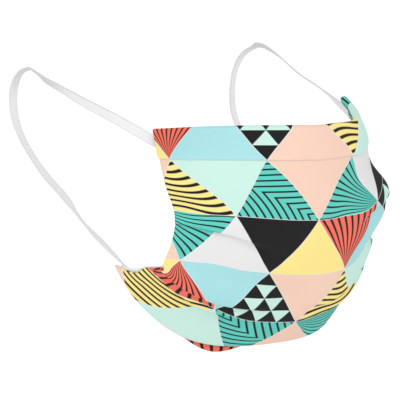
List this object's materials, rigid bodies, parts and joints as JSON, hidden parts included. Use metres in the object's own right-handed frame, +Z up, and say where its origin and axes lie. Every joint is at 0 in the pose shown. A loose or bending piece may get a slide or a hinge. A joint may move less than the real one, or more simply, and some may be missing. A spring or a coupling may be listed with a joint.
{
  "type": "pleated cloth face mask with ear loops",
  "caption": "Pleated cloth face mask in its worn shape, printed outer cloth over a white lining, with a band over the rim, a hem under the chin and flat elastic ear loops.",
  "frame": {"origin": "on the inside of the mask, where its lining sits on the bridge of the nose, in the middle from left to right", "axes": "+Z up, -Y the way that the wearer looks, +X to the wearer's left"},
  "size_m": [0.1746, 0.2018, 0.1567],
  "materials": {
    "outer_cloth": "printed smooth woven cloth in peach, mint, teal, yellow, coral, white and black triangles",
    "inner_lining": "plain white woven cloth",
    "upper_band": "the same printed cloth",
    "lower_hem": "the same printed cloth",
    "ear_loop": "white knitted elastic"
  },
  "bodies": {
    "root": {"outer_cloth": "outer_cloth", "inner_lining": "inner_lining", "upper_band": "upper_band", "lower_hem": "lower_hem", "ear_loop_right": "ear_loop", "ear_loop_left": "ear_loop"}
  },
  "joints": []
}
